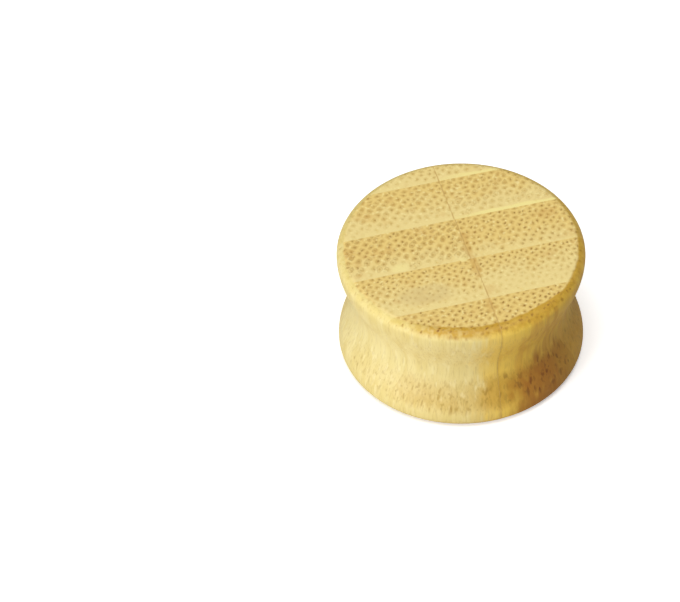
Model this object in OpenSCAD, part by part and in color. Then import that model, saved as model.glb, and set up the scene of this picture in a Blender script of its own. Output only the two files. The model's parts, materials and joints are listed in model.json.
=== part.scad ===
// Double-flared ear plug, turned from a laminated bamboo blank.
// The grain runs along the plug's axis, so both faces show the ends of the strips.
// Millimetres, +Z up. The origin is the centre of the face that the plug stands on,
// +X runs along the long glue lines between the rows of strips.

/* [Turned shape] */
// Diameter of the saddle, which is the gauge that the ear is stretched to
gauge_d = 22; // [20:0.5:23]
// Diameter of the two flares at their widest
flare_d = 25; // [24:0.5:26.5]
// Length of the plug from face to face
plug_len = 13.3; // [10:0.1:18]
// Rounding between a face and the widest ring of its flare
edge_r = 1; // [0.5:0.1:1.5]

/* [Bamboo strips] */
// Thickness of a strip, across the long glue lines
strip_t = 5.75; // [5.5:0.05:6.1]
// How far the middle row of strips lies behind the plug's axis
row_shift = 0.95; // [0:0.05:1.2]
// Width of the glue line between two strips
glue_gap = 0.04; // [0.02:0.01:0.1]

/* [Hidden] */

gauge_r = gauge_d / 2;
flare_r = flare_d / 2;
// Height of the widest ring above the middle of the plug
ring_z = plug_len / 2 - edge_r;
// Straight steps that make up the rounding and the sweep from saddle to flare
edge_steps = 7;
sweep_steps = 10;
// Room past the turned shape, so that an outer strip's box reaches all of it
past = 1;
$fn = 96;

// Rows of strips from the front, -Y, to the back.
// Columns: the butt joint's place along X as a share of strip_t, and the colour.
BUTT = 0;
TINT = 1;
ROWS = [
    [0.11, [0.87, 0.76, 0.48]],
    [0.12, [0.92, 0.83, 0.58]],
    [0.08, [0.88, 0.77, 0.50]],
    [0.07, [0.91, 0.82, 0.55]],
    [0.07, [0.93, 0.85, 0.60]]
];
middle_row = (len(ROWS) + 1) / 2;

// The sides of a strip: -1 is left of its butt joint and 1 is right of it
LEFT = -1;
RIGHT = 1;

// Radius of the turned wall at a share t of the way from the waist to the widest ring
function wall_r(t) = gauge_r + (flare_r - gauge_r) * (1 - cos(180 * t)) / 2;

// Upper half of the outline, from the middle of the upper face down to the waist, as [r, z]
function upper_half() = concat(
    [[0, plug_len / 2]],
    [for (i = [0:edge_steps])
        let (a = 90 * i / edge_steps)
        [flare_r - edge_r + edge_r * sin(a), ring_z + edge_r * cos(a)]],
    [for (i = [1:sweep_steps])
        let (t = 1 - i / sweep_steps)
        [wall_r(t), ring_z * t]]
);

// The same points below the waist, from the waist down to the middle of the lower face
function lower_half(upper) = [for (i = [len(upper) - 2:-1:0]) [upper[i][0], -upper[i][1]]];

// Edge of a row on its +Y side, at the middle of the glue line
function row_back(row) = row_shift + (row - middle_row + 0.5) * strip_t;

module turned_plug() {
    upper = upper_half();
    translate([0, 0, plug_len / 2])
        rotate_extrude()
            polygon(concat(upper, lower_half(upper)));
}

// The room that one strip takes in the blank. An outer row is open to the outside.
module strip_room(row, side) {
    out = flare_r + past;
    y0 = row == 1 ? -out : row_back(row - 1) + glue_gap / 2;
    y1 = row == len(ROWS) ? out : row_back(row) - glue_gap / 2;
    near = ROWS[row - 1][BUTT] * strip_t + side * glue_gap / 2;
    x0 = side == LEFT ? -out : near;
    x1 = side == LEFT ? near : out;
    translate([x0, y0, -past])
        cube([x1 - x0, y1 - y0, plug_len + 2 * past]);
}

module strip(row, side) {
    color(ROWS[row - 1][TINT])
        intersection() {
            turned_plug();
            strip_room(row, side);
        }
}

strip(1, LEFT);  // strip_1_left
strip(1, RIGHT);  // strip_1_right
strip(2, LEFT);  // strip_2_left
strip(2, RIGHT);  // strip_2_right
strip(3, LEFT);  // strip_3_left
strip(3, RIGHT);  // strip_3_right
strip(4, LEFT);  // strip_4_left
strip(4, RIGHT);  // strip_4_right
strip(5, LEFT);  // strip_5_left
strip(5, RIGHT);  // strip_5_right
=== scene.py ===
# %% [markdown]
# # An ear plug turned from laminated bamboo
#
# The plug is a small turned piece: two flat round faces, rounded edges, and a waist that sits in the
# ear lobe. It is cut on a lathe from a blank of bamboo strips glued side by side, with the grain
# along the axis. So the faces show the ends of the fibres as rows of dots, and the sides show them
# lengthwise as streaks.
#
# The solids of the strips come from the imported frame. This lesson remakes each strip as a smooth
# mesh with its open vessels, fills the glue lines, and gives the wood one procedural pattern that
# runs through the whole volume, so faces and sides agree where they meet.

# %% Load the frame
import json
import math

import bpy
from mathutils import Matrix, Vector


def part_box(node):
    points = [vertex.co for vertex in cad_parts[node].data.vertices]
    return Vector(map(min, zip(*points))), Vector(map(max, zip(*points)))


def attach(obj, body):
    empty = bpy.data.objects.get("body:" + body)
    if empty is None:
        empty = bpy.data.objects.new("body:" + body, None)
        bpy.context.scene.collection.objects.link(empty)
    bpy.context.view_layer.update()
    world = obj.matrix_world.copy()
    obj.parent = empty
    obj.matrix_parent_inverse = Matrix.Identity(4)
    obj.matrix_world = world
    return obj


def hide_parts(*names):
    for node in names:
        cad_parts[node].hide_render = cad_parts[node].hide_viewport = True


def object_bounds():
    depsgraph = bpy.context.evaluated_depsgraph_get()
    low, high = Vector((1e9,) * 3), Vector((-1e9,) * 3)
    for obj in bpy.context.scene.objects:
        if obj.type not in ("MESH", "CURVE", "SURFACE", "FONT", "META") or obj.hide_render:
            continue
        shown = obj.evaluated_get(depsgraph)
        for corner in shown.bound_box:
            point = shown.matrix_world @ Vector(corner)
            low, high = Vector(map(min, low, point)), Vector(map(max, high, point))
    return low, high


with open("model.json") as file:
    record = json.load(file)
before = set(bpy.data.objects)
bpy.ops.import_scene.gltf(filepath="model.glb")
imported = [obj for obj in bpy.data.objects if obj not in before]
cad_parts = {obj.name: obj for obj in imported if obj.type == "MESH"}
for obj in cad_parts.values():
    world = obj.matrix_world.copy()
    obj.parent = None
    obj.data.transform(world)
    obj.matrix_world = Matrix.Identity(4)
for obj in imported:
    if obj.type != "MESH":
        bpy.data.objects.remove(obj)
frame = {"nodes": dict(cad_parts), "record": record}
cad_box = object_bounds()
MM = 0.001
print("solids:", len(frame["nodes"]), "box:", [[round(x / MM, 3) for x in corner] for corner in cad_box])

# %% [markdown]
# ## Sizes
#
# Nothing is measured twice. The frame's box gives the length and the widest diameter, and the
# saddle mount gives the radius of the waist and the distance between the two widest rings. What is
# left of the length is the rounding of the edges.

# %% Sizes from the frame
low_corner, high_corner = (Vector(corner) for corner in cad_box)
PLUG_LENGTH = high_corner.z - low_corner.z
FLARE_R = (high_corner.x - low_corner.x) / 2
saddle = next(mount for mount in frame["record"]["mounts"] if mount["name"] == "saddle")
SADDLE_R = saddle["dims"]["r_mm"] * MM
RING_TO_RING = saddle["dims"]["length_mm"] * MM
EDGE_R = (PLUG_LENGTH - RING_TO_RING) / 2
PLUG_CENTRE = Vector((0, 0, PLUG_LENGTH / 2))
print(f"length {PLUG_LENGTH / MM:.2f}, flare radius {FLARE_R / MM:.2f}, "
      f"saddle radius {SADDLE_R / MM:.2f}, edge {EDGE_R / MM:.2f} mm")

# %% [markdown]
# ## Where each strip lies
#
# A strip's solid says where its glue planes are. On a side that ends on the turned wall the strip's
# room is open, so it is set a little past the blank. The pith side of every strip faces the front,
# -Y, and the strip's full thickness, seen on the middle row, tells where the pith side of the front
# row would be if the lathe had left it.

# %% Room and pith side of each strip
ROWS = (1, 2, 3, 4, 5)
SIDES = ("left", "right")
# How far a room reaches past the blank where it is open
PAST = 1 * MM
OUTSIDE = FLARE_R + PAST


def node_name(row, side):
    return f"strip_{row}_{side}"


def strip_room(row, side):
    """The lowest and highest corner of the room that a strip fills in the blank."""
    low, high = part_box(node_name(row, side))
    low_x = -OUTSIDE if side == "left" else low.x
    high_x = high.x if side == "left" else OUTSIDE
    low_y = -OUTSIDE if row == ROWS[0] else low.y
    high_y = OUTSIDE if row == ROWS[-1] else high.y
    return Vector((low_x, low_y, -PAST)), Vector((high_x, high_y, PLUG_LENGTH + PAST))


middle_low, middle_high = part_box(node_name(3, "left"))
STRIP_T = middle_high.y - middle_low.y
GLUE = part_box(node_name(3, "left"))[0].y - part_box(node_name(2, "left"))[1].y


def pith_side(row):
    """Y of the side of a row that faced the inside of the cane."""
    return strip_room(row, "left")[0].y if row > ROWS[0] else strip_room(row, "left")[1].y - STRIP_T


print(f"strip {STRIP_T / MM:.2f} mm thick, glue line {GLUE / MM:.3f} mm, "
      f"pith sides at {[round(pith_side(row) / MM, 2) for row in ROWS]}")

# %% [markdown]
# ## The camera
#
# The photograph looks down on the plug at 46 degrees, from about 41 cm away with a long lens, and
# the plug stands right of the middle of the picture. The rows of strips rise to the right by 16
# degrees, so the camera stands 16 degrees round from the front.

# %% Camera at the photograph's viewing angle
PICTURE_W, PICTURE_H = 680, 602
PLUG_IN_PICTURE = (461.0, 292.3)
CAMERA_TURN = math.radians(-16)
CAMERA_UP = math.radians(46)
CAMERA_DISTANCE = 0.412
PIXELS_PER_MM = 9.865
SENSOR = 36


def around(turn, up, distance):
    """A point seen from the plug's centre, turned from the front and raised, at a distance."""
    flat = distance * math.cos(up)
    return PLUG_CENTRE + Vector((flat * math.sin(turn), -flat * math.cos(turn), distance * math.sin(up)))


def look_at(thing, place, target):
    thing.location = place
    thing.rotation_euler = (target - place).to_track_quat("-Z", "Y").to_euler()


camera_data = bpy.data.cameras.new("camera")
camera_data.sensor_width = SENSOR
camera_data.lens = PIXELS_PER_MM * CAMERA_DISTANCE / MM / PICTURE_W * SENSOR
camera_data.shift_x = (PICTURE_W / 2 - PLUG_IN_PICTURE[0]) / PICTURE_W
camera_data.shift_y = (PLUG_IN_PICTURE[1] - PICTURE_H / 2) / PICTURE_W
camera = bpy.data.objects.new("camera", camera_data)
bpy.context.scene.collection.objects.link(camera)
bpy.context.scene.camera = camera
look_at(camera, around(CAMERA_TURN, CAMERA_UP, CAMERA_DISTANCE), PLUG_CENTRE)
print(f"lens {camera_data.lens:.0f} mm, shift {camera_data.shift_x:.3f}, {camera_data.shift_y:.3f}")

# %% [markdown]
# ## Writing node trees as sums
#
# The shape and the wood both follow formulas. Wiring a formula by hand takes dozens of Math nodes,
# so a small class stands for the output of a node, and Python's own signs add the nodes: `a + b`
# adds an Add node and gives its output. It works in shader trees and in geometry trees alike, and
# that matters here, because the vessels cut by Geometry Nodes have to lie where the shader paints
# their bundles.

# %% Fields and trees
def sign(operation, turned=False):
    """What Python runs for a sign between two fields. It is turned where the field stands second."""
    def method(self, other):
        return self.tree.math(operation, *((other, self) if turned else (self, other)))
    return method


class Field:
    """The output of a node. Arithmetic on it adds Math nodes to its tree."""

    def __init__(self, tree, socket):
        self.tree = tree
        self.socket = socket

    __add__ = sign("ADD")
    __radd__ = sign("ADD", turned=True)
    __sub__ = sign("SUBTRACT")
    __rsub__ = sign("SUBTRACT", turned=True)
    __mul__ = sign("MULTIPLY")
    __rmul__ = sign("MULTIPLY", turned=True)
    __truediv__ = sign("DIVIDE")
    __pow__ = sign("POWER")


class Tree:
    """A node tree in the making. Each method adds one node and gives its output as a field."""

    def __init__(self, node_tree):
        self.node_tree = node_tree

    def feed(self, socket, value):
        """Links a field to a socket, or sets the socket to a plain value."""
        if isinstance(value, Field):
            self.node_tree.links.new(value.socket, socket)
        elif isinstance(value, (list, tuple)) and value and isinstance(value[0], Field):
            for field in value:
                self.node_tree.links.new(field.socket, socket)
        else:
            socket.default_value = value

    def node(self, kind, inputs=None, **settings):
        """Adds a node, with its settings first, because they decide which sockets it shows."""
        node = self.node_tree.nodes.new(kind)
        count = len(self.node_tree.nodes)
        node.location = (220 * (count % 12), -260 * (count // 12))
        for name, value in settings.items():
            setattr(node, name, value)
        for name, value in (inputs or {}).items():
            shown = [socket for socket in node.inputs if socket.enabled]
            socket = shown[name] if isinstance(name, int) else next(s for s in shown if s.name == name)
            self.feed(socket, value)
        return node

    def add(self, kind, inputs=None, out=0, **settings):
        node = self.node(kind, inputs, **settings)
        shown = [socket for socket in node.outputs if socket.enabled]
        return Field(self, shown[out] if isinstance(out, int) else node.outputs[out])

    def math(self, operation, *values):
        return self.add("ShaderNodeMath", dict(enumerate(values)), operation=operation)

    def vector(self, x, y, z=0.0):
        return self.add("ShaderNodeCombineXYZ", {"X": x, "Y": y, "Z": z})

    def split(self, vector):
        node = self.node("ShaderNodeSeparateXYZ", {0: vector})
        return [Field(self, socket) for socket in node.outputs]

    def ramp(self, value, start, end, low=0.0, high=1.0):
        """Runs smoothly from low, where value is start, to high, where it is end."""
        return self.add(
            "ShaderNodeMapRange",
            {"Value": value, "From Min": start, "From Max": end, "To Min": low, "To Max": high},
            interpolation_type="SMOOTHSTEP",
        )

    def blend(self, share, a, b):
        """Mixes two colours."""
        return self.add("ShaderNodeMix", {"Factor": share, "A": a, "B": b}, data_type="RGBA")

    def clamp(self, value):
        return self.add("ShaderNodeClamp", {"Value": value})

    def noise(self, vector, scale=1.0, detail=2.0, out=0):
        """A soft noise round 0.5. Its output "Color" holds three of them."""
        inputs = {"Vector": vector, "Scale": scale, "Detail": detail}
        return self.add("ShaderNodeTexNoise", inputs, out=out)


FLOAT, INT, VECTOR, COLOR = "NodeSocketFloat", "NodeSocketInt", "NodeSocketVector", "NodeSocketColor"
GEOMETRY, MATERIAL = "NodeSocketGeometry", "NodeSocketMaterial"


def new_group(name, kind, inputs, outputs):
    """A node group with named sockets. It gives the tree and a dictionary of its inputs."""
    group = bpy.data.node_groups.new(name, kind)
    for socket_name, socket_type, value in inputs:
        socket = group.interface.new_socket(socket_name, in_out="INPUT", socket_type=socket_type)
        if value is not None:
            socket.default_value = value
    for socket_name, socket_type in outputs:
        group.interface.new_socket(socket_name, in_out="OUTPUT", socket_type=socket_type)
    tree = Tree(group)
    entry = group.nodes.new("NodeGroupInput")
    return tree, {socket.name: Field(tree, socket) for socket in entry.outputs if socket.name}


def close_group(tree, **results):
    """Feeds the group's outputs. An underscore in a name stands for a space."""
    exit_node = tree.node_tree.nodes.new("NodeGroupOutput")
    for name, value in results.items():
        tree.feed(exit_node.inputs[name.replace("_", " ")], value)
    return tree.node_tree


print("fields and trees are ready")

# %% [markdown]
# ## Where the bundles of the cane lie
#
# Bamboo has no growth rings. Its fibres and vessels run in bundles, in staggered rows: packed close
# near the skin, and far apart near the pith. A plain square Voronoi pattern gives staggered rows
# when it stands on its corner, and a small randomness takes away the stiffness. The distance across
# the strip is bent before it enters the pattern, which packs the rows towards the skin.
#
# The same functions write these nodes into the shader and into the geometry tree. They work in
# millimetres: x runs along a row, and across runs from the pith side to the skin side.

# %% The bundles' pattern
BUNDLE_PITCH = 1.05
ROWS_PER_MM_AT_PITH = 1.35
ROWS_PER_MM_GAIN = 0.075
LOOSENESS = 0.7
# Cells further before the pith side than this aren't needed, and without it the root isn't real
FIRST_ROW = -2.0


def to_pattern(x, across, coarse, shift):
    """The place in the Voronoi pattern of a point in the strip. A coarse cane has wide bundles."""
    across = across / coarse
    rows = across * (across * ROWS_PER_MM_GAIN + ROWS_PER_MM_AT_PITH)
    along = x / coarse / BUNDLE_PITCH
    return along + rows * 0.5 + shift[0], along - rows * 0.5 + shift[1]


def from_pattern(m, n, coarse, shift):
    """The point in the strip of a place in the Voronoi pattern."""
    m, n = m - shift[0], n - shift[1]
    rows = not_below(m - n, FIRST_ROW)
    root = (rows * (4 * ROWS_PER_MM_GAIN) + ROWS_PER_MM_AT_PITH ** 2) ** 0.5
    x = (m + n) * (BUNDLE_PITCH / 2)
    across = (root - ROWS_PER_MM_AT_PITH) / (2 * ROWS_PER_MM_GAIN)
    return x * coarse, across * coarse


def not_below(field, least):
    return field.tree.math("MAXIMUM", field, least)


def nearest_bundle(tree, m, n):
    """The Voronoi cell that holds a place: the centre of its bundle, and three random numbers."""
    cells = tree.node(
        "ShaderNodeTexVoronoi",
        {"Vector": tree.vector(m, n), "Scale": 1.0, "Randomness": LOOSENESS},
        voronoi_dimensions="2D", feature="F1",
    )
    centre_m, centre_n, _ = tree.split(Field(tree, cells.outputs["Position"]))
    return centre_m, centre_n, tree.split(Field(tree, cells.outputs["Color"]))


print(f"bundles {BUNDLE_PITCH} mm apart along a row")

# %% [markdown]
# ## The lathe
#
# Each strip starts as a plain box, as on the bench before turning. One geometry tree is the lathe:
# it makes the whole turned shape and keeps what a box shares with it. The outline is two quarter
# arcs for the edges and one cosine wave for the sweep from flare to waist and back. A grid is rolled
# round the axis along that outline, and two round faces close it. All strips pass the same lathe, so
# their walls line up to the last micron, as they do when the blank is turned after gluing.
#
# Smooth shading would smear the light round the corners. So each edge where the surface turns by
# more than 30 degrees is marked sharp: at the glue planes, and later at the rims of the vessels.

# %% Geometry nodes of the lathe
ARC_STEPS = 10
SWEEP_STEPS = 40
ROUND_STEPS = 240
WELD = 0.001 * MM
CRISP_ANGLE = math.radians(30)
TURNED_SIZES = [
    ("Flare Radius", FLOAT, FLARE_R), ("Length", FLOAT, PLUG_LENGTH), ("Edge Radius", FLOAT, EDGE_R)]


def steps_along(tree, count, first, last):
    """0 before step first, 1 after step last, and an even rise between."""
    return tree.clamp((count - first) / (last - first))


def shade(tree, mesh, smooth):
    return tree.add("GeometryNodeSetShadeSmooth", {"Geometry": mesh, "Shade Smooth": smooth})


def raised(tree, mesh, height):
    up = tree.vector(0.0, 0.0, height)
    return tree.add("GeometryNodeTransform", {"Geometry": mesh, "Translation": up})


def turned_shape(tree, saddle_r, flare_r, length, edge_r, recess):
    rings = 2 * ARC_STEPS + SWEEP_STEPS
    columns = ROUND_STEPS + 1
    index = tree.add("GeometryNodeInputIndex") + 0.5
    ring = tree.math("FLOOR", index / columns)
    turn = tree.math("FLOOR", tree.math("MODULO", index, columns)) * (2 * math.pi / ROUND_STEPS)
    low_arc = steps_along(tree, ring, 0, ARC_STEPS) * (math.pi / 2)
    high_arc = steps_along(tree, ring, rings, rings - ARC_STEPS) * (math.pi / 2)
    sweep = steps_along(tree, ring, ARC_STEPS, ARC_STEPS + SWEEP_STEPS)
    waist = (1 - tree.math("COSINE", sweep * (2 * math.pi))) * 0.5
    edge_in = 2 - tree.math("SINE", low_arc) - tree.math("SINE", high_arc)
    radius = flare_r - recess - edge_r * edge_in - (flare_r - saddle_r) * waist
    edge_up = 1 - tree.math("COSINE", low_arc) + tree.math("COSINE", high_arc)
    height = recess + edge_r * edge_up + (length - 2 * edge_r - 2 * recess) * sweep
    place = tree.vector(
        radius * tree.math("COSINE", turn), radius * tree.math("SINE", turn), height)
    grid = tree.add("GeometryNodeMeshGrid", {"Vertices X": rings + 1, "Vertices Y": columns})
    wall = tree.add("GeometryNodeSetPosition", {"Geometry": grid, "Position": place})
    wall = shade(tree, tree.add("GeometryNodeFlipFaces", {"Mesh": wall}), True)
    disc = tree.add(
        "GeometryNodeMeshCircle", {"Vertices": ROUND_STEPS, "Radius": flare_r - recess - edge_r},
        fill_type="NGON")
    disc = shade(tree, disc, False)
    top = raised(tree, disc, length - recess)
    bottom = tree.add("GeometryNodeFlipFaces", {"Mesh": raised(tree, disc, recess)})
    shell = tree.add("GeometryNodeJoinGeometry", {"Geometry": [bottom, wall, top]})
    return tree.add("GeometryNodeMergeByDistance", {"Geometry": shell, "Distance": WELD})


def crisp(tree, mesh):
    """Marks the edges where the surface turns sharply, so that smooth shading stops there."""
    turn = tree.add("GeometryNodeInputMeshEdgeAngle", out="Unsigned Angle")
    sharp = tree.math("GREATER_THAN", turn, CRISP_ANGLE)
    return tree.add(
        "GeometryNodeSetShadeSmooth",
        {"Geometry": mesh, "Selection": sharp, "Shade Smooth": False}, domain="EDGE")


def end_tree(tree, mesh, material):
    """The last nodes of a geometry tree: crisp edges, real geometry and its material."""
    mesh = tree.add("GeometryNodeRealizeInstances", {"Geometry": crisp(tree, mesh)})
    return tree.add("GeometryNodeSetMaterial", {"Geometry": mesh, "Material": material})


def make_lathe():
    tree, given = new_group(
        "lathe", "GeometryNodeTree",
        [("Blank", GEOMETRY, None),
         ("Saddle Radius", FLOAT, SADDLE_R),
         *TURNED_SIZES,
         ("Recess", FLOAT, 0.0),
         ("Material", MATERIAL, None)],
        [("Turned", GEOMETRY)])
    shape = turned_shape(
        tree, given["Saddle Radius"], given["Flare Radius"], given["Length"], given["Edge Radius"],
        given["Recess"])
    blank = shade(tree, given["Blank"], False)
    turned = tree.add(
        "GeometryNodeMeshBoolean", {"Mesh": [shape, blank]}, operation="INTERSECT", solver="MANIFOLD")
    return close_group(tree, Turned=end_tree(tree, turned, given["Material"]))


lathe = make_lathe()
print("lathe nodes:", len(lathe.nodes))

# %% [markdown]
# ## Open vessels
#
# Each bundle holds two wide vessels side by side and a narrower one towards the pith. On a cut face
# they are open pits. The second tree samples the bundles' pattern once in each of its cells, so it
# finds the very centres that the wood's colours use, and drills the pits there.
#
# A bundle near the outside ends on the rounded edges instead. The outline is a formula, so it can be
# solved for the height at which it is as wide as the vessel's own distance from the axis, and the
# pit sits there. On the flares' long slopes the tool has closed the vessels, and what shows is a
# dash of colour, which is left to the material.

# %% Geometry nodes of the vessels
PATTERN_CELLS = 44
PITH_BAND = 0.32
SKIN_BAND = 0.2
PIT_DEPTH = 0.035 * MM
EDGE_PIT_DEPTH = 0.06 * MM
# No vessel is drilled closer than this to the widest ring's radius
RING_BAND = 0.12 * MM
VESSEL_SIDES = 8
# Columns: place along the row, place towards the skin, radius, all in millimetres
VESSELS = [(-0.06, 0.0, 0.034), (0.06, 0.0, 0.034), (0.0, -0.09, 0.024)]
# Size of a bundle at the pith side, what it loses on the way to the skin, and how much sizes differ
PITH_SIZE = 1.22
SIZE_LOSS = 0.42
SIZE_SPREAD = 0.3


def pattern_shift(seed):
    """Moves a strip's pattern, so that no two strips show the same bundles."""
    return seed * 7.37, seed * -4.61


def bundle_size(share, chance):
    """Bundles are wide near the pith and narrow near the skin. share is 0 to 1 across the strip."""
    return (PITH_SIZE - share * SIZE_LOSS) * (chance * SIZE_SPREAD + (1 - SIZE_SPREAD / 2))


def vessel_cutter(tree, radius, half_length):
    drill = tree.add(
        "GeometryNodeMeshCylinder",
        {"Vertices": VESSEL_SIDES, "Radius": radius * MM, "Depth": half_length * 2})
    return shade(tree, drill, False)


def bundle_points(tree, given):
    """One point for each bundle of the strip, at z = 0, with its size stored on it."""
    shift = pattern_shift(given["Seed"])
    index = tree.add("GeometryNodeInputIndex") + 0.5
    row = tree.math("FLOOR", index / PATTERN_CELLS) - PATTERN_CELLS / 2
    column = tree.math("FLOOR", tree.math("MODULO", index, PATTERN_CELLS)) - PATTERN_CELLS / 2
    m, n, chances = nearest_bundle(
        tree,
        tree.math("FLOOR", shift[0]) + row + LOOSENESS / 2,
        tree.math("FLOOR", shift[1]) + column + LOOSENESS / 2)
    x, across = from_pattern(m, n, given["Coarse"], shift)
    share = across / (STRIP_T / MM)
    points = tree.add(
        "GeometryNodePoints",
        {"Count": PATTERN_CELLS ** 2,
         "Position": tree.vector(x * MM, across * MM + given["Pith Side"], 0.0)})
    return tree.add(
        "GeometryNodeStoreNamedAttribute",
        {"Geometry": points, "Name": "bundle_size", "Value": bundle_size(share, chances[0])},
        data_type="FLOAT", domain="POINT")


def outside(tree, value, low, high):
    return tree.math("MAXIMUM", tree.math("LESS_THAN", value, low), tree.math("GREATER_THAN", value, high))


def surface_height(tree, given, out):
    """Height above the middle at which the face or the rounded edge is as far out as a vessel."""
    past_face = not_below(out - given["Flare Radius"] + given["Edge Radius"], 0.0)
    rounding = tree.math("SQRT", given["Edge Radius"] ** 2 - past_face ** 2)
    return given["Length"] * 0.5 - given["Edge Radius"] + rounding


def make_drill():
    tree, given = new_group(
        "vessel drill", "GeometryNodeTree",
        [("Strip", GEOMETRY, None),
         ("Seed", INT, 1),
         ("Coarse", FLOAT, 1.0),
         ("Pith Side", FLOAT, 0.0),
         ("Low X", FLOAT, 0.0),
         ("High X", FLOAT, 0.0),
         *TURNED_SIZES,
         ("Material", MATERIAL, None)],
        [("Strip", GEOMETRY)])
    points = bundle_points(tree, given)
    x, y, _ = tree.split(tree.add("GeometryNodeInputPosition"))
    stray = outside(tree, x, given["Low X"] + SKIN_BAND * MM, given["High X"] - SKIN_BAND * MM)
    stray = stray + outside(tree, y - given["Pith Side"], PITH_BAND * MM, STRIP_T - SKIN_BAND * MM)
    points = tree.add(
        "GeometryNodeDeleteGeometry", {"Geometry": points, "Selection": stray}, domain="POINT")
    size = tree.add("GeometryNodeInputNamedAttribute", {"Name": "bundle_size"}, data_type="FLOAT")
    out = tree.math("SQRT", x * x + y * y)
    height = surface_height(tree, given, out)
    on_face = tree.math("LESS_THAN", out, given["Flare Radius"] - given["Edge Radius"])
    on_edge = tree.math("LESS_THAN", out, given["Flare Radius"] - RING_BAND) - on_face
    drills = []
    for vessel_x, vessel_y, radius in VESSELS:
        aside = tree.vector(size * (vessel_x * MM), size * (vessel_y * MM), 0.0)
        vessels = tree.add("GeometryNodeSetPosition", {"Geometry": points, "Offset": aside})
        pit = vessel_cutter(tree, radius, PIT_DEPTH)
        edge_pit = vessel_cutter(tree, radius, EDGE_PIT_DEPTH)
        for cutter, chosen in ((pit, on_face), (edge_pit, on_edge)):
            for side in (-1, 1):
                place = tree.vector(0.0, 0.0, given["Length"] * 0.5 + height * side)
                raised = tree.add("GeometryNodeSetPosition", {"Geometry": vessels, "Offset": place})
                drills.append(tree.add(
                    "GeometryNodeInstanceOnPoints",
                    {"Points": raised, "Instance": cutter, "Selection": chosen,
                     "Scale": tree.vector(size, size, 1.0)}))
    drills = tree.add("GeometryNodeJoinGeometry", {"Geometry": drills})
    drills = tree.add("GeometryNodeRealizeInstances", {"Geometry": drills})
    drilled = tree.add(
        "GeometryNodeMeshBoolean", {"Mesh 1": given["Strip"], "Mesh 2": drills},
        operation="DIFFERENCE", solver="MANIFOLD")
    return close_group(tree, Strip=end_tree(tree, drilled, given["Material"]))


drill = make_drill()
print("drill nodes:", len(drill.nodes))

# %% [markdown]
# ## Turning and drilling each strip
#
# A modifier runs a tree on an object. Its inputs have to be set by the sockets' identifiers, before
# Blender evaluates it for the first time. The result is then taken as a plain mesh, and the object
# with its modifiers is thrown away, so the finished piece holds nothing but its shape.

# %% From box to strip
def set_modifier(host, group, values):
    modifier = host.modifiers.new(group.name, "NODES")
    modifier.node_group = group
    identifiers = {
        item.name: item.identifier for item in group.interface.items_tree
        if item.item_type == "SOCKET" and item.in_out == "INPUT"}
    for name, value in values.items():
        modifier[identifiers[name]] = value


def box_mesh(name, rooms):
    """Plain closed boxes, given by their lowest and highest corners."""
    corners = []
    faces = []
    for low, high in rooms:
        first = len(corners)
        corners += [(x, y, z) for z in (low.z, high.z) for y in (low.y, high.y) for x in (low.x, high.x)]
        faces += [tuple(first + i for i in face) for face in BOX_FACES]
    mesh = bpy.data.meshes.new(name)
    mesh.from_pydata(corners, [], faces)
    return mesh


BOX_FACES = [(0, 2, 3, 1), (4, 5, 7, 6), (0, 1, 5, 4), (2, 6, 7, 3), (0, 4, 6, 2), (1, 3, 7, 5)]


def finished(host, name):
    """The host's evaluated shape as a new plain object. The host is removed."""
    graph = bpy.context.evaluated_depsgraph_get()
    mesh = bpy.data.meshes.new_from_object(host.evaluated_get(graph), depsgraph=graph)
    mesh.name = name
    bpy.data.objects.remove(host)
    piece = bpy.data.objects.new(name, mesh)
    bpy.context.scene.collection.objects.link(piece)
    return piece


def new_host(name, rooms):
    host = bpy.data.objects.new(name + "_blank", box_mesh(name + "_blank", rooms))
    bpy.context.scene.collection.objects.link(host)
    return host


# How wide the bundles of each strip are beside those of a usual cane
COARSE = {
    (1, "left"): 0.91, (1, "right"): 0.92,
    (2, "left"): 0.89, (2, "right"): 0.90,
    (3, "left"): 0.99, (3, "right"): 0.91,
    (4, "left"): 0.99, (4, "right"): 0.96,
    (5, "left"): 0.90, (5, "right"): 0.92,
}


def make_strip(row, side, seed, wood):
    low, high = strip_room(row, side)
    host = new_host(f"bamboo_{row}_{side}", [(low, high)])
    set_modifier(host, lathe, {"Material": wood})
    set_modifier(host, drill, {
        "Seed": seed, "Coarse": COARSE[(row, side)], "Pith Side": pith_side(row),
        "Low X": low.x, "High X": high.x, "Material": wood})
    return finished(host, f"bamboo_{row}_{side}")


print("strips are turned and drilled by two modifiers")

# %% [markdown]
# ## The colour of the wood
#
# Pale ground tissue, tan bundles with a dark heart: that is all the colour there is in bamboo. How
# much of each shows depends on the place across the strip, and on how the surface cuts the fibres.
# Cut square, on the faces, every bundle shows as a small diamond with a dark heart. Cut at a slant,
# on the rounded edges and the flares, the open ends drink in oil, so the wood is deeper there, and
# the hearts are short dashes. Along the saddle the fibres lie in the surface, which stays pale with
# faint streaks.
#
# The slant doesn't have to be read from the mesh: the outline is a formula, so the height alone
# tells it.

# %% How the surface cuts the fibres
# How far the painted shade at the widest rings reaches in towards the waist, in millimetres
RING_SHADE_BAND = 2.0


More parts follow.
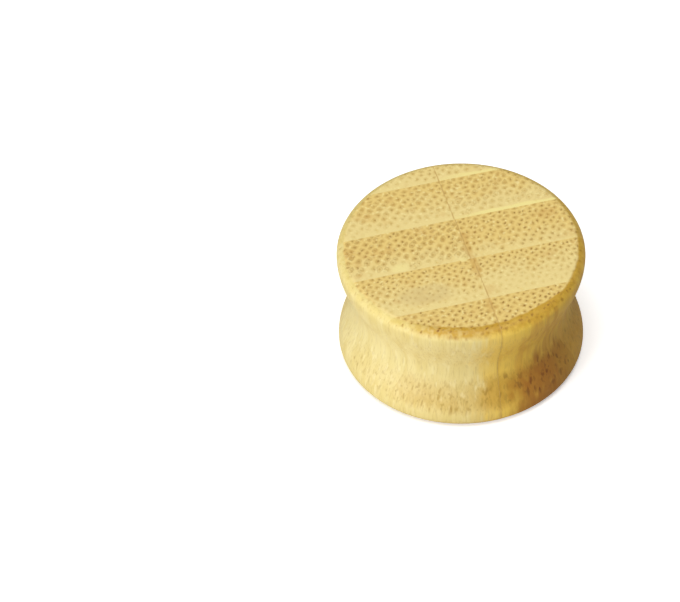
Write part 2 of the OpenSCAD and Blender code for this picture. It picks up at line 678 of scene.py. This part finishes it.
def make_cut_group():
    """Edge is 1 on the faces and 0 at the widest rings. Sweep is 1 where a flare is steepest. Touched
    is a painted shade, full at the widest rings and beyond them, and fading out towards the waist."""
    tree, given = new_group(
        "cut of the fibres", "ShaderNodeTree",
        [("Height", FLOAT, 0.0)],
        [("Edge", FLOAT), ("Sweep", FLOAT), ("Touched", FLOAT)])
    half_rings = RING_TO_RING / MM / 2
    from_middle = tree.math("ABSOLUTE", given["Height"] - PLUG_LENGTH / MM / 2)
    edge = tree.clamp((from_middle - half_rings) / (EDGE_R / MM))
    wave = tree.math("ABSOLUTE", tree.math("SINE", from_middle * (math.pi / half_rings)))
    sweep = wave * tree.math("LESS_THAN", from_middle, half_rings)
    ring_shade = tree.ramp(from_middle, half_rings - RING_SHADE_BAND, half_rings)
    return close_group(tree, Edge=edge, Sweep=sweep, Touched=ring_shade)


cut_group = make_cut_group()
print("cut nodes:", len(cut_group.nodes))

# %% [markdown]
# A mask says how much a point belongs to one part of a bundle. The net of the Voronoi pattern parts
# one bundle from the next, and the distance from the bundle's centre gives its heart, the dash that
# the heart leaves on a slanted cut, and the sheath round it. A small noise moves each point first,
# so that no two bundles have the same outline.
#
# From here on the limits of a ramp are kept under one name: where it starts, where it ends, and then
# its two values, if they aren't 0 and 1.

# %% The bundles as masks
# Half sizes of a heart and of its dash, along the row and across it, in millimetres
HEART_HALF = (0.115, 0.15)
DASH_HALF = (0.14, 0.11)
# How far a bundle leans, and the power of its outline: 1 gives a sharp diamond, 2 an oval
LEAN = 0.3
DIAMOND = 1.5
# Distance of the sheath from the centre, where the heart's outline is 1
SHEATH = 2.1
# How far points are moved, in millimetres, and how often that changes in a millimetre
WOBBLE = 0.4
WOBBLE_STEPS = 2.6
# Width of the net at the pith side and of its soft border, as shares of a cell
NET_WIDTH = 0.08
NET_SOFT = 0.45
HEART_FADE = (1.8, 0.2)
DASH_FADE = (1.7, 0.6)
SHEATH_FADE = (0.9, 0.1)
PITH_BAND_FADE = (PITH_BAND - 0.1, PITH_BAND + 0.1)


def diamond(tree, off_x, off_across, half):
    """Distance from a bundle's centre, 1 on the outline of a soft diamond."""
    x = tree.math("POWER", tree.math("ABSOLUTE", off_x / half[0]), DIAMOND)
    across = tree.math("POWER", tree.math("ABSOLUTE", off_across / half[1]), DIAMOND)
    return tree.math("POWER", x + across, 1 / DIAMOND)


def make_bundle_group():
    """How much a point lies in a bundle, in its dark heart, in the dash that the heart leaves on a
    slanted cut, and in its sheath. Then its share across the strip and a random number."""
    tree, given = new_group(
        "bundles", "ShaderNodeTree",
        [("Position", VECTOR, None),
         ("Pith Side", FLOAT, 0.0),
         ("Coarse", FLOAT, 1.0),
         ("Seed", FLOAT, 1.0)],
        [("Bundle", FLOAT), ("Heart", FLOAT), ("Dash", FLOAT),
         ("Sheath", FLOAT), ("Share", FLOAT), ("Chance", FLOAT)])
    x, y, _ = tree.split(given["Position"])
    across = y - given["Pith Side"]
    share = across / (STRIP_T / MM)
    shift = pattern_shift(given["Seed"])
    m, n = to_pattern(x, across, given["Coarse"], shift)
    net = tree.add(
        "ShaderNodeTexVoronoi",
        {"Vector": tree.vector(m, n), "Scale": 1.0, "Randomness": LOOSENESS},
        voronoi_dimensions="2D", feature="DISTANCE_TO_EDGE")
    centre_m, centre_n, chances = nearest_bundle(tree, m, n)
    centre_x, centre_across = from_pattern(centre_m, centre_n, given["Coarse"], shift)
    size = bundle_size(centre_across / (STRIP_T / MM), chances[0])
    wobble = tree.noise(tree.vector(x, y), WOBBLE_STEPS, 1.0, out="Color")
    wobble_x, wobble_across, _ = tree.split(wobble)
    off_across = (across - centre_across + (wobble_across - 0.5) * WOBBLE) / size
    off_x = (x - centre_x + (wobble_x - 0.5) * WOBBLE) / size - off_across * LEAN
    heart = diamond(tree, off_x, off_across, HEART_HALF)
    dash = diamond(tree, off_x, off_across, DASH_HALF)
    sheath = tree.math("ABSOLUTE", heart - SHEATH)
    away_from_pith = tree.ramp(centre_across, *PITH_BAND_FADE)
    gap = tree.ramp(share, 0.0, 1.0, NET_WIDTH, 0.0)
    return close_group(
        tree,
        Bundle=tree.ramp(net, gap, gap + NET_SOFT) * away_from_pith,
        Heart=tree.ramp(heart, *HEART_FADE) * away_from_pith,
        Dash=tree.ramp(dash, *DASH_FADE) * away_from_pith,
        Sheath=tree.ramp(sheath, *SHEATH_FADE) * away_from_pith,
        Share=share,
        Chance=chances[1])


bundle_group = make_bundle_group()
print("bundle nodes:", len(bundle_group.nodes))


# %% Colours
def paint(red, green, blue):
    """A colour as a paint chart gives it, 0 to 255, turned into the linear light that Blender uses."""
    def linear(value):
        value /= 255
        return value / 12.92 if value <= 0.04045 else ((value + 0.055) / 1.055) ** 2.4
    return (linear(red), linear(green), linear(blue), 1.0)


PITH_GROUND = paint(237, 215, 144)
SKIN_GROUND = paint(234, 205, 124)
PITH_BUNDLE = paint(225, 201, 126)
SKIN_BUNDLE = paint(214, 180, 101)
PITH_RIM = paint(245, 229, 150)
SPECK = paint(247, 230, 160)
HEART = paint(156, 115, 46)
BLUSH = paint(212, 170, 94)
STAIN = paint(200, 152, 72)
SMOOTH = paint(218, 194, 130)
FRESH = paint(243, 226, 152)
LONG_PALE = paint(240, 226, 164)
LONG_STREAK = paint(233, 216, 147)
LONG_FIBRE = paint(246, 234, 180)
LONG_GOLD = paint(243, 206, 84)
LONG_TAN = paint(224, 177, 70)
SLANT_PALE = paint(208, 176, 94)
SLANT_GOLD = paint(204, 160, 58)
SLANT_TAN = paint(180, 120, 42)
SLANT_HEART_PALE = paint(176, 138, 56)
SLANT_HEART = paint(122, 72, 28)
EDGE_PALE = paint(214, 191, 106)
EDGE_GOLD = paint(197, 154, 48)
EDGE_HEART = paint(156, 107, 36)
GLUE_BROWN = paint(204, 168, 98)
GLUE_OLIVE = paint(190, 150, 66)
GLUE_FILM = paint(188, 150, 76)
print("ground at the pith side in linear light:", [round(value, 3) for value in PITH_GROUND])

# %% [markdown]
# The plug in the photograph has a few marks that no rule gives: glue and oil have stained the wood
# along the butt joints, one patch is smooth and grey, and two chips left fresh pale wood. They are
# listed one by one, as soft ovals with a ragged outline.

# %% Marks listed one by one
# Columns: place x and y and half sizes in millimetres, strength, colour
MARKS = {
    "stain at the middle butt joint": (0.55, 0.1, 0.42, 1.9, 0.42, STAIN),
    "stain at the second butt joint": (0.62, -3.1, 0.45, 1.5, 0.50, STAIN),
    "stain at the front butt joint": (0.55, -8.7, 0.45, 1.1, 0.45, STAIN),
    "brown spot on the left": (-11.2, 2.1, 0.7, 0.7, 0.35, STAIN),
    "brown spot on the right": (9.5, 2.2, 1.0, 0.8, 0.25, STAIN),
    "smooth patch": (-5.3, -5.5, 2.9, 1.35, 0.7, SMOOTH),
    "chip on the left": (-6.6, -1.2, 0.9, 0.6, 0.9, FRESH),
    "chip at the butt joint": (-0.3, -1.8, 0.45, 0.3, 0.9, FRESH),
}
# How far their outlines stray, in millimetres, and how often that changes in a millimetre
RAGGED = 1.2
RAGGED_STEPS = 0.9
MARK_FADE = (1.5, 0.3)
MARK_UNEVEN = (0.3, 0.6, 0.6, 1.0)


def add_marks(tree, colour, x, y):
    ragged = tree.noise(tree.vector(x, y), RAGGED_STEPS, 3.0, out="Color")
    ragged_x, ragged_y, depth = tree.split(ragged)
    x = x + (ragged_x - 0.5) * RAGGED
    y = y + (ragged_y - 0.5) * RAGGED
    uneven = tree.ramp(depth, *MARK_UNEVEN)
    for mark_x, mark_y, half_x, half_y, strength, mark_colour in MARKS.values():
        off_x = (x - mark_x) / half_x
        off_y = (y - mark_y) / half_y
        spread = tree.ramp(off_x * off_x + off_y * off_y, *MARK_FADE)
        colour = tree.blend(spread * strength * uneven, colour, mark_colour)
    return colour


print("marks:", len(MARKS))

# %% [markdown]
# The faces are a sum of simple layers: the ground, the bundles, their dark hearts and sheaths, pale
# specks of pith, a blush of tan here and there, and the pale rim at the pith side. A slow noise moves
# the border between pale and dark inside a strip, as nothing in a cane is ruled with a straight edge.

# %% The faces
# How far the border between pale and dark strays, as a share of the strip
DRIFT = 0.9
# Where each layer changes on the way from the pith side, 0, to the skin side, 1
GROUND_DEEPENS = (0.15, 0.9)
BUNDLES_DEEPEN = (0.0, 0.8)
BUNDLES_SHOW = (-0.1, 0.5, 0.65, 1.0)
HEARTS_SHOW = (0.0, 0.7)
SHEATHS_SHOW = (0.0, 0.4)
RIM_SHOWS = (0.085, 0.045)
# Along the row the rim comes up on the right of the butt joints, in millimetres
RIM_RIGHT = (0.5, 4.0, 0.35, 1.0)
# The part of a noise that shows as a speck or a blush
NOISE_PEAKS = (0.56, 0.72)
SPECK_STEPS = 2.8
BLUSH_STEPS = 0.55


def face_colour(tree, given, place, bundles, drift):
    """Colour where the fibres are cut square, and how dark the hearts of the bundles are there."""
    x, y, _ = place
    bundle, heart, _, sheath, share, chance = bundles
    skin = tree.clamp(share + given["Skin"] + (drift - 0.5) * DRIFT)
    ground = tree.blend(tree.ramp(skin, *GROUND_DEEPENS), PITH_GROUND, SKIN_GROUND)
    tissue = tree.blend(tree.ramp(skin, *BUNDLES_DEEPEN), PITH_BUNDLE, SKIN_BUNDLE)
    colour = tree.blend(tree.ramp(skin, *BUNDLES_SHOW) * bundle, ground, tissue)

    darkness = tree.ramp(skin, *HEARTS_SHOW) * given["Hearts"] * (chance * 0.7 + 0.3)
    sheaths = tree.ramp(skin, *SHEATHS_SHOW) * given["Sheaths"] * (1.2 - chance) * sheath
    colour = tree.blend(tree.clamp(darkness * heart + sheaths * 0.4), colour, HEART)

    speck = tree.noise(tree.vector(x, y, given["Seed"] * 2.0), SPECK_STEPS)
    colour = tree.blend(tree.ramp(speck, *NOISE_PEAKS) * (1 - heart) * 0.65, colour, SPECK)
    blush = tree.noise(tree.vector(x, y, given["Seed"] * 5.0), BLUSH_STEPS, 3.0)
    colour = tree.blend(tree.ramp(blush, *NOISE_PEAKS) * 0.35, colour, BLUSH)
    rim = tree.ramp(share + (blush - 0.5) * 0.12, *RIM_SHOWS) * tree.ramp(x, *RIM_RIGHT)
    colour = tree.blend(rim * given["Rim"], colour, PITH_RIM)
    return add_marks(tree, colour, x, y), darkness


print("face layers: ground, bundles, hearts, specks, blush, rim, marks")

# %% [markdown]
# The wall starts as long grain, pale in some strips and tan in others, with a tan of its own beside
# some butt joints. Over it lies the deeper colour of the slanted grain, strong on the lower flare and
# faint on the upper one, and a deeper colour up from the foot of the tan strips. Then come the rounded
# edges, pale or oiled gold, with a painted shade on the pale strips at the widest rings. Last are the
# dark dashes of the hearts, with grit between them.

# %% The wall
# Noises that are drawn out along the fibres: steps in a millimetre across and along them, and detail
STREAK = (1.1, 0.10, 3.0)
FIBRE = (1.9, 0.30, 1.0)
GRIT = (3.2, 1.3, 1.0)
FINE = (7.0, 0.7, 2.0)
# How far the borders on the wall stray, in millimetres
WALL_RAGGED = 2.5
# Ramps over the distance from the butt joint, in millimetres
JOINT_TAN = (3.6, 0.0)
BROWNER = (0.5, 5.0, 0.0, 0.7)
DARK_STARTS = (0.0, 4.0)
DARK_ENDS = (9.0, 5.5, 0.25, 1.0)
FOOT_STARTS = (0.0, 3.0)
DRY_SIDE = (6.0, 12.0, 0.0, 0.6)
GOLD_ENDS = (9.5, 5.5)
# Ramps over the height, in millimetres
LOWER_FLARE = (6.4, 2.8, 0.1, 1.0)
FOOT = (7.8, 2.2, 0.0, 0.95)
# Ramps over a noise or over another mask
STREAKS_SHOW = (0.35, 0.65)
FIBRES_SHOW = (0.60, 0.70)
FIBRES_DRINK = (0.35, 0.6)
TAN_DARKENS = (0.3, 1.0)
OIL_ON_SLOPE = (0.25, 0.95)
DASHES_ON_SLOPE = (0.25, 0.8)
GRIT_ON_SLOPE = (0.56, 0.72)
GRIT_ON_EDGE = (0.54, 0.72)
EDGE_BAND = (0.2, 1.0, 0.0, 0.9)


def grain(tree, place, kind, shift=0.0):
    """A noise that is drawn out along the fibres."""
    x, y, z = place
    across, along, detail = kind
    return tree.noise(tree.vector(x * across, y * across, z * along + shift), 1.0, detail)


def wall_colour(tree, given, place, cut, bundles, darkness):
    """Colour of the long grain on the wall, deeper where a flare or the edge cuts it at a slant."""
    x, _, z = place
    edge, sweep, ring_shade = cut
    _, _, dash, _, _, chance = bundles
    streak = grain(tree, place, STREAK, given["Seed"] * 3.0)
    fibre = grain(tree, place, FIBRE, given["Seed"] * -2.0)
    grit = grain(tree, place, GRIT, given["Seed"])
    ragged = (streak + fibre - 1) * WALL_RAGGED
    from_butt = tree.math("ABSOLUTE", x - given["Butt"])
    from_joint = from_butt + ragged
    at_joint = tree.ramp(from_joint, *JOINT_TAN)
    tan_share = given["Tan"] + (given["Butt Tan"] - given["Tan"]) * at_joint

    # Long grain
    streaky = tree.ramp(streak, *STREAKS_SHOW)
    pale = tree.blend(streaky, LONG_PALE, LONG_STREAK)
    pale = tree.blend(tree.ramp(fibre, *FIBRES_SHOW) * 0.6, pale, LONG_FIBRE)
    browner = tree.clamp(tree.ramp(from_butt, *BROWNER) + (streaky - 0.5))
    tan = tree.blend(browner, LONG_GOLD, LONG_TAN)
    colour = tree.blend(tan_share, pale, tan)

    # Slanted grain, deeper on the lower flare than on the upper one, and deeper up from the foot of the
    # tan strips
    dark = tree.ramp(tan_share, *TAN_DARKENS) * tree.ramp(from_joint, *DARK_STARTS)
    dark = dark * tree.ramp(from_joint, *DARK_ENDS)
    slanted = tree.blend(dark, tree.blend(tan_share, SLANT_PALE, SLANT_GOLD), SLANT_TAN)
    lower = tree.ramp(z - tan_share * 1.8 + ragged * 1.5, *LOWER_FLARE)
    flare = tree.ramp(sweep, *OIL_ON_SLOPE) * lower * (tan_share * 0.2 + 0.8)
    foot = tree.ramp(z + ragged * 3.0, *FOOT) * tree.ramp(from_joint, *FOOT_STARTS) * tan_share
    thirst = tree.ramp(fibre, *FIBRES_DRINK, tan_share * 0.3 + 0.55, 1.0)
    deepened = tree.math("MAXIMUM", flare * thirst, foot) * given["Oil"]
    dry = (1 - tan_share) * tree.ramp(from_butt, *DRY_SIDE)
    colour = tree.blend(deepened * (1 - dry), colour, slanted)

    # Rounded edges
    # Painted shade: the pale strips are darkened near the widest rings and over the rounded edges
    colour = tree.blend(ring_shade * (1 - tan_share) * 0.28, colour, EDGE_PALE)
    gold = tree.math("MAXIMUM", tan_share, tree.ramp(from_butt, *GOLD_ENDS) * given["Edge Gold"])
    edge_grain = tree.blend(gold, EDGE_PALE, EDGE_GOLD)
    on_edge = tree.ramp(edge + (fibre - 0.5) * 0.6, *EDGE_BAND)
    colour = tree.blend(on_edge * (thirst * 0.6 + 0.4) * given["Edge Oil"], colour, edge_grain)

    # Dashes and grit
    hearts = (darkness * 0.65 + given["Hearts"] * chance * 0.3) * dash
    slope = tree.ramp(sweep, *DASHES_ON_SLOPE) * lower * given["Oil"]
    dash_colour = tree.blend(dark, SLANT_HEART_PALE, SLANT_HEART)
    colour = tree.blend(slope * tree.ramp(grit, *GRIT_ON_SLOPE) * 0.5, colour, dash_colour)
    colour = tree.blend(hearts * (slope * 0.9 + 0.04), colour, dash_colour)
    specks = tree.math("MAXIMUM", hearts, tree.ramp(grit, *GRIT_ON_EDGE) * tan_share * 0.4)
    return tree.blend(specks * on_edge * given["Edge Oil"], colour, EDGE_HEART)


print("wall layers: long grain, slanted grain, edges, dashes and grit")

# %% [markdown]
# One group joins the face and the wall, so that the pattern runs through the whole volume. The colour
# of the face reaches a little over the rounding. At the front it is the other way round: there the
# oil of the edge has crept onto the face. Dust lies along the butt joints, and a fine noise roughens
# all of it.

# %% The bamboo as one group
LOOK_NAMES = ("Skin", "Hearts", "Sheaths", "Tan", "Butt Tan", "Oil", "Edge Oil", "Edge Gold", "Rim")
DRIFT_STEPS = 0.42
WORN_STEPS = 1.1
# Where the face's colour starts and where it is full, as shares of the edge's height
FACE_HEIGHT = (0.86, 0.985)
# How far that colour reaches past the flat face, in millimetres, and its softness and raggedness
FACE_REACH = 0.3
FACE_SOFT = 0.15
FACE_RAGGED = 0.4
# How far the edge's oil has crept inwards at the front, in millimetres, and from where to where on Y
OIL_CREEP = 0.6
CREEP_PLACE = (-8.0, -10.8)
# Half width of the dust at a butt joint on the wall, how much less it is on a face, and how far out
# the dust is full, in millimetres
DUST_HALF = 0.2
DUST_LESS = 0.1
DUST_FULL = 0.02
ROUGHNESS = 0.5


def make_bamboo_group():
    tree, given = new_group(
        "bamboo", "ShaderNodeTree",
        [("Object", VECTOR, None),
         ("Seed", FLOAT, 1.0),
         ("Coarse", FLOAT, 1.0),
         ("Pith Side", FLOAT, 0.0),
         ("Butt", FLOAT, 0.0),
         *((name, FLOAT, 0.0) for name in LOOK_NAMES)],
        [("Color", COLOR), ("Roughness", FLOAT), ("Height", FLOAT)])
    position = tree.add("ShaderNodeVectorMath", {0: given["Object"], "Scale": 1 / MM}, operation="SCALE")
    place = tree.split(position)
    x, y, z = place
    cut_node = tree.node("ShaderNodeGroup", {"Height": z}, node_tree=cut_group)
    cut = [Field(tree, socket) for socket in cut_node.outputs]
    bundle_node = tree.node(
        "ShaderNodeGroup",
        {"Position": position, "Pith Side": given["Pith Side"], "Coarse": given["Coarse"],
         "Seed": given["Seed"]},
        node_tree=bundle_group)
    bundles = [Field(tree, socket) for socket in bundle_node.outputs]
    drift = tree.noise(tree.vector(x, y, given["Seed"] * 9.0), DRIFT_STEPS)

    face, darkness = face_colour(tree, given, place, bundles, drift)
    wall = wall_colour(tree, given, place, cut, bundles, darkness)
    worn = tree.noise(tree.vector(x, y, z * 0.3), WORN_STEPS)
    out = tree.math("SQRT", x * x + y * y) + (worn - 0.5) * FACE_RAGGED
    face_r = (FLARE_R - EDGE_R) / MM + FACE_REACH - tree.ramp(y, *CREEP_PLACE) * OIL_CREEP
    on_face = tree.ramp(cut[0], *FACE_HEIGHT) * tree.ramp(out - face_r, FACE_SOFT, -FACE_SOFT)
    colour = tree.blend(on_face, wall, face)

    from_butt = tree.math("ABSOLUTE", x - given["Butt"])
    dusty = tree.ramp(from_butt, DUST_HALF - on_face * DUST_LESS, DUST_FULL)
    dusty = dusty * tree.ramp(worn, 0.35, 0.6, 0.0, on_face * 0.25 + 0.35)
    colour = tree.blend(dusty, colour, tree.blend(on_face, GLUE_OLIVE, GLUE_BROWN))

    fine = grain(tree, place, FINE)
    heart = bundles[1]
    roughness = ROUGHNESS + (fine - 0.5) * 0.25 + heart * 0.1
    height = fine * 0.35 - heart * 0.5
    colour = tree.blend(tree.ramp(fine, 0.5, 0.3) * (0.16 - on_face * 0.1), colour, HEART)
    return close_group(tree, Color=colour, Roughness=roughness, Height=height)


bamboo_group = make_bamboo_group()
print("bamboo nodes:", len(bamboo_group.nodes))

# %% [markdown]
# ## One finish for each strip
#
# Strips are sawn from different canes, and the shop doesn't sort them, so each has its own shade and
# its own share of dark hearts. Each gets its own material, which places the one bamboo group with
# its own values.

# %% Materials of the strips
BUMP_DEPTH = 0.01 * MM
BUMP_STRENGTH = 0.6
GLOSS = 0.35
# Skin: how near the skin of the cane it was cut. Hearts and Sheaths: how dark its hearts and the
# outlines of its bundles are. Tan and Butt Tan: how tan its long grain is, far from the butt joint and
# at it. Oil and Edge Oil: how deep its grain is on the slopes and on the edges. Edge Gold: how much
# gold the oil has brought out on the edge of a pale strip. Rim: how bright its pith side is.
# Columns: the values of LOOK_NAMES
LOOKS = {
    (1, "left"): (0.35, 0.90, 0.3, 0.05, 0.8, 1.00, 1.15, 1.0, 0.1),
    (1, "right"): (0.42, 1.00, 0.2, 1.00, 0.9, 1.00, 1.00, 0.0, 0.1),
    (2, "left"): (-0.02, 0.76, 0.2, 0.00, 0.0, 0.70, 0.50, 0.0, 0.1),
    (2, "right"): (-0.22, 0.95, 0.2, 0.95, 0.5, 0.75, 0.90, 0.0, 0.1),
    (3, "left"): (0.18, 0.80, 0.9, 0.00, 0.3, 0.30, 0.50, 0.0, 0.1),
    (3, "right"): (0.34, 0.76, 0.3, 0.75, 0.5, 1.00, 0.90, 0.0, 0.1),
    (4, "left"): (0.05, 0.54, 0.5, 0.10, 0.2, 0.40, 0.60, 0.0, 0.2),
    (4, "right"): (0.08, 0.48, 0.6, 0.50, 0.4, 0.80, 0.80, 0.0, 1.0),
    (5, "left"): (0.15, 0.50, 0.3, 0.10, 0.2, 0.40, 0.60, 0.0, 0.3),
    (5, "right"): (0.10, 0.45, 0.3, 0.30, 0.3, 0.50, 0.60, 0.0, 0.9),
}


def new_material(name):
    material = bpy.data.materials.new(name)
    material.use_nodes = True
    tree = Tree(material.node_tree)
    shader = material.node_tree.nodes["Principled BSDF"]
    return material, tree, shader


def wood_material(row, side, seed):
    low, high = strip_room(row, side)
    butt = high.x if side == "left" else low.x
    material, tree, shader = new_material(f"bamboo_{row}_{side}")
    place = tree.add("ShaderNodeTexCoord", out="Object")
    look = dict(zip(LOOK_NAMES, LOOKS[(row, side)]))
    bamboo = tree.node(
        "ShaderNodeGroup",
        {"Object": place, "Seed": float(seed), "Coarse": COARSE[(row, side)],
         "Pith Side": pith_side(row) / MM, "Butt": butt / MM, **look},
        node_tree=bamboo_group)
    bump = tree.add(
        "ShaderNodeBump",
        {"Height": Field(tree, bamboo.outputs["Height"]), "Distance": BUMP_DEPTH,
         "Strength": BUMP_STRENGTH})
    tree.feed(shader.inputs["Base Color"], Field(tree, bamboo.outputs["Color"]))
    tree.feed(shader.inputs["Roughness"], Field(tree, bamboo.outputs["Roughness"]))
    tree.feed(shader.inputs["Normal"], bump)
    shader.inputs["Specular IOR Level"].default_value = GLOSS
    return material


strips = {}
for row in ROWS:
    for side in SIDES:
        seed = 2 * row + SIDES.index(side)
        wood = wood_material(row, side, seed)
        strip = make_strip(row, side, seed, wood)
        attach(strip, "root")
        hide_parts(node_name(row, side))
        strips[(row, side)] = strip
        triangles = sum(len(face.vertices) - 2 for face in strip.data.polygons)
        print(strip.name, "triangles:", triangles)

# %% [markdown]
# ## Glue lines
#
# The solids leave a gap of a few hundredths of a millimetre between the strips. The real gap is full
# of glue, which is turned and sanded with the wood and wears down a little more than it does. So the
# glue passes the same lathe, set a hair smaller. Between rows it is clear and shows the wood behind
# it, so each of those films takes the material of its strip. At the butt joints, where two strips
# meet end to side, it has taken up dust and shows as a thin brown line.

# %% Glue films
GLUE_RECESS = 0.004 * MM
GLUE_PLAY = 0.002 * MM
DUST_STEPS = 1.5


def gap_before(row, side):
    """The gap between a strip and the row before it."""
    low, high = strip_room(row, side)
    low_y = strip_room(row - 1, side)[1].y + GLUE_PLAY
    high_x = strip_room(row, "right")[0].x - GLUE_PLAY if side == "left" else high.x
    return Vector((low.x, low_y, low.z)), Vector((high_x, low.y - GLUE_PLAY, high.z))


def gap_at_butt(row):
    low, high = strip_room(row, "left")
    next_x = strip_room(row, "right")[0].x
    return Vector((high.x + GLUE_PLAY, low.y, low.z)), Vector((next_x - GLUE_PLAY, high.y, high.z))


def dusty_glue():
    material, tree, shader = new_material("glue_at_butts")
    place = tree.add("ShaderNodeTexCoord", out="Object")
    dust = tree.noise(place, DUST_STEPS / MM)
    colour = tree.blend(tree.ramp(dust, 0.4, 0.65), GLUE_BROWN, GLUE_FILM)
    tree.feed(shader.inputs["Base Color"], colour)
    tree.feed(shader.inputs["Roughness"], tree.ramp(dust, 0.3, 0.7, 0.35, 0.5))
    return material


def make_film(name, rooms, material):
    host = new_host(name, rooms)
    set_modifier(host, lathe, {"Recess": GLUE_RECESS, "Material": material})
    film = finished(host, name)
    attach(film, "root")
    print(film.name, "faces:", len(film.data.polygons))
    return film


make_film("glue_at_butts", [gap_at_butt(row) for row in ROWS], dusty_glue())
for row in ROWS[1:]:
    for side in SIDES:
        wood = strips[(row, side)].data.materials[0]
        film = make_film(f"glue_before_{row}_{side}", [gap_before(row, side)], wood)

# %% [markdown]
# ## Floor and light
#
# The photograph was cut out on white, so the floor shows nearly white. The plug itself tells what
# stood around it: the wall is bright from the left to the middle and falls to a deep brown on the
# right, while the face is even. So one large soft lamp hangs right above, a second one stands low
# at the left in front, and what comes back from the table is warm and weaker than a white floor
# would send. The floor's shader therefore shows white, with a little glow that lifts its shade, to
# the camera's own rays only.

# %% Floor
FLOOR_HALF = 3.0
FLOOR_SHOWN = (0.97, 0.97, 0.97, 1)
FLOOR_LIFT = (0.42, 0.42, 0.42, 1)
NO_LIFT = (0, 0, 0, 1)
FLOOR_BOUNCE = (0.62, 0.56, 0.46, 1)
floor_mesh = bpy.data.meshes.new("floor")
floor_corners = [(x * FLOOR_HALF, y * FLOOR_HALF, 0) for x, y in ((-1, -1), (1, -1), (1, 1), (-1, 1))]
floor_mesh.from_pydata(floor_corners, [], [(0, 1, 2, 3)])
floor = bpy.data.objects.new("floor", floor_mesh)
bpy.context.scene.collection.objects.link(floor)
floor_paint, floor_tree, floor_shader = new_material("floor")
seen = floor_tree.add("ShaderNodeLightPath", out="Is Camera Ray")
floor_tree.feed(floor_shader.inputs["Base Color"], floor_tree.blend(seen, FLOOR_BOUNCE, FLOOR_SHOWN))
floor_tree.feed(floor_shader.inputs["Emission Color"], floor_tree.blend(seen, NO_LIFT, FLOOR_LIFT))
floor_shader.inputs["Emission Strength"].default_value = 1.0
floor_shader.inputs["Roughness"].default_value = 0.8
floor_mesh.materials.append(floor_paint)

# %% Lamps and surroundings
# Columns: turn from the camera and height in degrees, distance and size in metres, power in watts
LAMPS = {
    "above": (-30, 84, 0.6, 0.45, 2.55),
    "low_left": (-42, 16, 0.6, 0.30, 2.3),
}
for name, (turn, up, distance, size, power) in LAMPS.items():
    lamp_data = bpy.data.lights.new(name, "AREA")
    lamp_data.shape = "DISK"
    lamp_data.size = size
    lamp_data.energy = power
    lamp = bpy.data.objects.new(name, lamp_data)
    bpy.context.scene.collection.objects.link(lamp)
    look_at(lamp, around(CAMERA_TURN + math.radians(turn), math.radians(up), distance), PLUG_CENTRE)

SURROUNDINGS = 0.2
SURROUNDINGS_COLOUR = (1, 0.98, 0.95, 1)
world = bpy.data.worlds.new("studio")
world.use_nodes = True
world.node_tree.nodes["Background"].inputs["Color"].default_value = SURROUNDINGS_COLOUR
world.node_tree.nodes["Background"].inputs["Strength"].default_value = SURROUNDINGS
bpy.context.scene.world = world
bpy.context.scene.view_settings.view_transform = "Standard"
print("lamps:", len(LAMPS))
